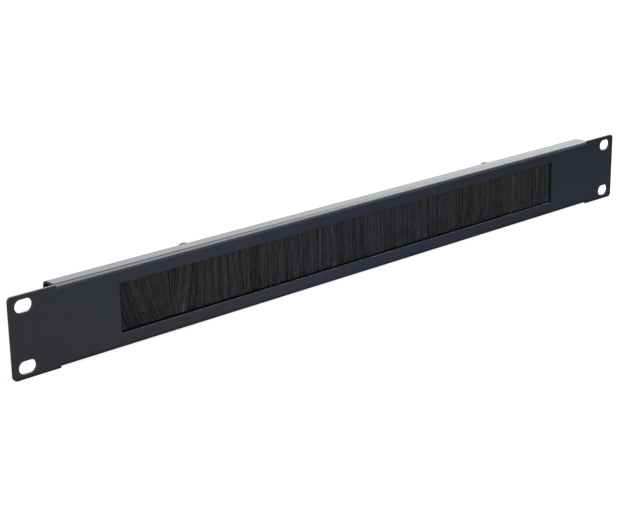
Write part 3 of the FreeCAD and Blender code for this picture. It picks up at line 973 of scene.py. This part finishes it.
def place_across(tree, here, splay):
    """X of a point: its root's place, and all leans, which grow towards the tip."""
    lean = lean_with_tuft(tree, here)
    lean = compute(tree, "ADD", lean, wander_on_the_way(tree, here))
    own_lean = chance_between(tree, here.leg, "lean of a leg", -OWN_LEAN, OWN_LEAN)
    lean = compute(tree, "ADD", lean, own_lean)
    looseness = remap(tree, here.layer, 0.0, 1.0, INNER_LOOSENESS, 1.0)
    lean = compute(tree, "MULTIPLY", lean, looseness)
    drawn = chance(tree, here.leg, "which legs stray")
    strays = compute(tree, "GREATER_THAN", drawn, 1.0 - STRAY_SHARE)
    stray = chance_between(tree, here.leg, "how far they stray", -STRAY_LEAN, STRAY_LEAN)
    lean = compute(tree, "MULTIPLY_ADD", strays, stray, lean)
    lean = compute(tree, "ADD", lean, lean_by_splay(tree, here, splay))
    growth = compute(tree, "POWER", here.down, LEAN_POWER)
    x = compute(tree, "MULTIPLY_ADD", lean, growth, here.across)
    x = compute(tree, "MINIMUM", x, brush_high.x - FILAMENT_THICKNESS)
    return compute(tree, "MAXIMUM", x, brush_low.x + FILAMENT_THICKNESS)


print("a filament leans up to", OWN_LEAN / MM, "mm by itself")


# %% [markdown]
# From the side, the loops lie round the wire one over the other, and their legs spread
# towards the tips to the whole depth of the brush. The outer loops take the outside, and
# a little chance mixes them. Each leg has its own length, as a trimmed brush has.

# %% Depth and height of each point
# A tip's place in the depth, as a share of half of it: of the innermost loop, and by chance
INNER_TIP = 0.25
TIP_CHANCE = 0.12
# Powers that bring more loops to the outside, and start the spread close to the wire
LAYER_POWER = 0.35
SPREAD_POWER = 0.7


def place_in_depth(tree, here, spread):
    """Y of a point: as wide as the loop at the wire, and as deep as the brush at the tip."""
    at_wire = compute(tree, "MULTIPLY", here.radius, here.side)
    by_chance = chance_between(tree, here.leg, "depth of a tip", -TIP_CHANCE, TIP_CHANCE)
    layer = compute(tree, "POWER", here.layer, LAYER_POWER)
    layer = remap(tree, layer, 0.0, 1.0, INNER_TIP, 1.0)
    tip = compute(tree, "MULTIPLY_ADD", here.side, layer, by_chance)
    tip = compute(tree, "MAXIMUM", compute(tree, "MINIMUM", tip, 1.0), -1.0)
    at_tip = compute(tree, "MULTIPLY", tip, spread)
    y = mix_values(tree, compute(tree, "POWER", here.down, SPREAD_POWER), at_wire, at_tip)
    return compute(tree, "ADD", y, wire_middle.y)


def place_in_height(tree, here, drop):
    """Z of a point: over the wire in an arc, and then down its leg."""
    lift = compute(tree, "MULTIPLY", compute(tree, "SINE", here.angle), here.radius)
    shorter = chance_between(tree, here.leg, "length of a leg", 0.0, -TIP_UNEVENNESS)
    drop = compute(tree, "ADD", drop, shorter)
    z = compute(tree, "SUBTRACT", lift, compute(tree, "MULTIPLY", drop, here.down))
    return compute(tree, "ADD", z, wire_middle.z)


print("tips spread to", round(2 * TIP_HALF / MM, 2), "mm")


# %% [markdown]
# The tone of a filament is part its own chance and part its tuft's, so that light and dark
# strands show. A few filaments get a painted shine, a much lighter tone. The graph paints
# shade on the thin places and light at the left end, and at the right end, where the
# window's border shades the front legs, those are painted lighter to make up for it.

# %% Tone of each filament
TUFT_TONE = 0.35
# Painted shine: the share of filaments that get it, and how much it adds to their tone
PAINTED_SHINE_SHARE = 0.05
PAINTED_SHINE_TONE = 1.2
# Distance from the right end where the painted light starts and where it is whole, in metres
RIGHT_END = (6.5 * MM, 2.0 * MM)
RIGHT_END_PAINTED_LIGHT = 3.6


def tone_of(tree, here):
    """How light a filament is, at each of its points."""
    own = chance(tree, here.loop, "tone of a filament")
    tuft = tuft_at(tree, here.across, 0.0)[0]
    tone = mix_values(tree, TUFT_TONE, own, chance(tree, tuft, "tone of a tuft"))
    # Painted shine: a few filaments get a much lighter tone
    drawn = chance(tree, here.loop, "which filaments shine")
    painted_shine = compute(tree, "GREATER_THAN", drawn, 1.0 - PAINTED_SHINE_SHARE)
    tone = compute(tree, "MULTIPLY_ADD", painted_shine, PAINTED_SHINE_TONE, tone)
    # Painted light and shade along the strip, read from the graph
    painted_light_and_shade = graph_along(tree, here.across, PAINTED_LIGHT_AND_SHADE_GRAPH, 0.0, PAINTED_LIGHT_AND_SHADE_LIMIT)
    tone = compute(tree, "MULTIPLY", tone, painted_light_and_shade)
    start, whole = [brush_high.x - inset for inset in RIGHT_END]
    right_end = remap(tree, here.across, start, whole, 0.0, RIGHT_END_PAINTED_LIGHT)
    is_front = compute(tree, "LESS_THAN", here.number, LOOP_MIDDLE)
    extra = compute(tree, "MULTIPLY_ADD", right_end, is_front, 1.0)
    return compute(tree, "MULTIPLY", tone, extra)


print(PAINTED_SHINE_SHARE, "of the filaments shine")


# %% [markdown]
# The roots stand in a row along the wire, each moved a little by a random value with a
# fixed seed. A named attribute keeps a number on each root and carries it along to the
# points of its loop. The layer says how far out a loop lies, and the golden ratio deals
# the layers out so evenly that no two neighbours lie at the same depth.

# %% Roots along the wire
GOLDEN_SHARE = (math.sqrt(5) - 1) / 2


def store(tree, geometry, name, value):
    """The same geometry with one more number on each point."""
    inputs = {"Geometry": geometry, "Name": name, "Value": value}
    settings = {"data_type": "FLOAT", "domain": "POINT"}
    return add_node(tree, "GeometryNodeStoreNamedAttribute", inputs, **settings).outputs[0]


def recall(tree, name):
    """A number that was stored on the points."""
    inputs = {"Name": name}
    return add_node(tree, "GeometryNodeInputNamedAttribute", inputs).outputs["Attribute"]


def roots_along_wire(tree, given):
    """Points along the wire, each with its place, its layer and its number."""
    index = add_node(tree, "GeometryNodeInputIndex").outputs[0]
    step = compute(tree, "DIVIDE", given["Length"], given["Filaments"])
    jitter = add_node(tree, "FunctionNodeRandomValue", {"Seed": given["Seed"]}, data_type="FLOAT")
    place = compute(tree, "ADD", index, jitter.outputs[1])
    across = compute(tree, "MULTIPLY_ADD", place, step, given["Start"])
    layer = compute(tree, "FRACT", compute(tree, "MULTIPLY", index, GOLDEN_SHARE))
    number = compute(tree, "MULTIPLY_ADD", given["Seed"], NUMBERS_PER_QUARTER, index)
    roots = add_node(tree, "GeometryNodePoints", {"Count": given["Filaments"]}).outputs[0]
    roots = store(tree, roots, "across", across)
    roots = store(tree, roots, "layer", layer)
    return store(tree, roots, "loop", number)


print("each root stores its place, its layer and its number")


# %% [markdown]
# Each root gets one short curve with the points of a loop. The curves start as instances,
# which share one shape, and are made real before a formula can shape each of them. What
# the formulas read at a point is gathered once, under the name here.

# %% Loops on the roots
def curves_on_roots(tree, roots):
    """One short curve with the points of a loop on each root."""
    line = add_node(tree, "GeometryNodeCurvePrimitiveLine").outputs[0]
    loop = add_node(tree, "GeometryNodeResampleCurve", {"Curve": line, "Count": LOOP_POINTS})
    inputs = {"Points": roots, "Instance": loop.outputs[0]}
    scattered = add_node(tree, "GeometryNodeInstanceOnPoints", inputs).outputs[0]
    return add_node(tree, "GeometryNodeRealizeInstances", {"Geometry": scattered}).outputs[0]


def values_at_point(tree):
    """All that the formulas read at each point of each loop."""
    here = SimpleNamespace(
        across=recall(tree, "across"), layer=recall(tree, "layer"), loop=recall(tree, "loop")
    )
    here.number = add_node(tree, "GeometryNodeSplineParameter").outputs["Index"]
    here.down = leg_share(tree, here.number)
    here.angle = loop_angle(tree, here.number)
    here.side = compute(tree, "COSINE", here.angle)
    here.is_rear = compute(tree, "GREATER_THAN", here.side, 0.0)
    here.leg = compute(tree, "MULTIPLY_ADD", here.is_rear, REAR_LEG_NUMBER, here.loop)
    here.radius = remap(tree, here.layer, 0.0, 1.0, LOOP_SMALLEST, LOOP_LARGEST)
    return here


print("loops ready to be shaped")


# %% [markdown]
# The tree's inputs are the sizes that a maker would order a brush by, so the same tree can
# make another brush.

# %% Inputs of the brush tree
def start_brush_tree():
    """An empty geometry tree with its named inputs."""
    tree = bpy.data.node_groups.new("hanging_brush", "GeometryNodeTree")
    wanted = [
        ("Start", "NodeSocketFloat", 0.0),
        ("Length", "NodeSocketFloat", 0.18),
        ("Filaments", "NodeSocketInt", 100),
        ("Thickness", "NodeSocketFloat", FILAMENT_THICKNESS),
        ("Drop", "NodeSocketFloat", BRUSH_DROP),
        ("Spread", "NodeSocketFloat", TIP_HALF),
        ("Splay", "NodeSocketFloat", 1.0),
        ("Seed", "NodeSocketInt", 1),
        ("Material", "NodeSocketMaterial", None),
    ]
    for name, kind, value in wanted:
        socket = tree.interface.new_socket(name, in_out="INPUT", socket_type=kind)
        if value is not None:
            socket.default_value = value
    tree.interface.new_socket("Geometry", in_out="OUTPUT", socket_type="NodeSocketGeometry")
    return tree, add_node(tree, "NodeGroupInput").outputs


print("inputs of the brush tree ready")


# %% [markdown]
# The tree puts it all together. Each filament becomes a tube with three sides: it is too
# thin to look round, and three sides keep thousands of them light. Each is turned by
# chance about its own length, so that they don't all catch the light at once.

# %% Geometry tree of the brush
TUBE_SIDES = 3
HALF_WIDTH = 0.5


def tubes_round_curves(tree, curves, thickness):
    """A thin closed tube round each curve."""
    inputs = {"Resolution": TUBE_SIDES, "Radius": HALF_WIDTH}
    profile = add_node(tree, "GeometryNodeCurvePrimitiveCircle", inputs).outputs[0]
    inputs = {"Curve": curves, "Profile Curve": profile, "Scale": thickness, "Fill Caps": True}
    return add_node(tree, "GeometryNodeCurveToMesh", inputs).outputs[0]


def make_brush_tree():
    """Points along the wire, a curve on each, a loop from each curve, a tube round each."""
    tree, given = start_brush_tree()
    curves = curves_on_roots(tree, roots_along_wire(tree, given))
    here = values_at_point(tree)
    axes = {
        0: place_across(tree, here, given["Splay"]),
        1: place_in_depth(tree, here, given["Spread"]),
        2: place_in_height(tree, here, given["Drop"]),
    }
    position = add_node(tree, "ShaderNodeCombineXYZ", axes).outputs[0]
    inputs = {"Geometry": curves, "Position": position}
    loops = add_node(tree, "GeometryNodeSetPosition", inputs).outputs[0]
    toned = store(tree, loops, "tone", tone_of(tree, here))
    turn = chance_between(tree, here.loop, "turn of a filament", 0.0, 2 * math.pi)
    inputs = {"Curve": toned, "Tilt": turn}
    turned = add_node(tree, "GeometryNodeSetCurveTilt", inputs).outputs[0]
    tubes = tubes_round_curves(tree, turned, given["Thickness"])
    whole = add_node(tree, "GeometryNodeRealizeInstances", {"Geometry": tubes}).outputs[0]
    inputs = {"Geometry": whole, "Material": given["Material"]}
    finished = add_node(tree, "GeometryNodeSetMaterial", inputs).outputs[0]
    add_node(tree, "NodeGroupOutput", {"Geometry": finished})
    return tree


brush_tree = make_brush_tree()
print("brush tree:", len(brush_tree.nodes), "nodes")


# %% [markdown]
# The tree runs in a modifier on an empty mesh, which is told its inputs before anything is
# evaluated. Its result is copied into a plain mesh, and the modifier goes away, so that
# what is kept is only faces.

# %% Run a tree
def run_tree(tree, name, values):
    """A plain mesh object made by a geometry tree with these inputs."""
    holder = bpy.data.objects.new(name + "_holder", bpy.data.meshes.new(name + "_holder"))
    bpy.context.scene.collection.objects.link(holder)
    modifier = holder.modifiers.new("tree", "NODES")
    modifier.node_group = tree
    for item in tree.interface.items_tree:
        if item.in_out == "INPUT" and item.name in values:
            modifier[item.identifier] = values[item.name]
    holder.update_tag()
    ready = holder.evaluated_get(bpy.context.evaluated_depsgraph_get())
    mesh = bpy.data.meshes.new_from_object(ready)
    mesh.name = name
    holder.modifiers.remove(modifier)
    bpy.data.objects.remove(holder)
    piece = bpy.data.objects.new(name, mesh)
    bpy.context.scene.collection.objects.link(piece)
    return piece


print("trees can be run")


# %% [markdown]
# The strip could be one mesh of some ten thousand filaments. It is made in quarters from
# left to right, to keep each mesh small enough to handle. All four ride on the panel's
# body and stand in for the plain solid.

# %% Brush in quarters
QUARTERS = 4
FILAMENTS_PER_QUARTER = 2700


def make_brush_quarter(number):
    """One quarter of the bristles, counted from the left, in place of the plain solid."""
    length = (brush_high.x - brush_low.x) / QUARTERS
    values = {
        "Start": brush_low.x + number * length,
        "Length": length,
        "Filaments": FILAMENTS_PER_QUARTER,
        "Thickness": FILAMENT_THICKNESS,
        "Drop": BRUSH_DROP,
        "Spread": TIP_HALF,
        "Splay": 1.0,
        "Seed": number + 1,
        "Material": nylon,
    }
    piece = run_tree(brush_tree, "bristles_" + str(number + 1), values)
    piece.data.shade_flat()
    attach(piece, BODY)
    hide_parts("bristles")
    return piece


for number in range(QUARTERS):
    quarter = make_brush_quarter(number)
    quarter.data.calc_loop_triangles()
    reach = [round(v / MM, 1) for v in quarter.dimensions]
    print(quarter.name, len(quarter.data.loop_triangles), "triangles", reach, "mm")


# %% [markdown]
# Last, the scene's colours are shown through the Standard view transform.

# %% Colour view
bpy.context.scene.view_settings.view_transform = "Standard"
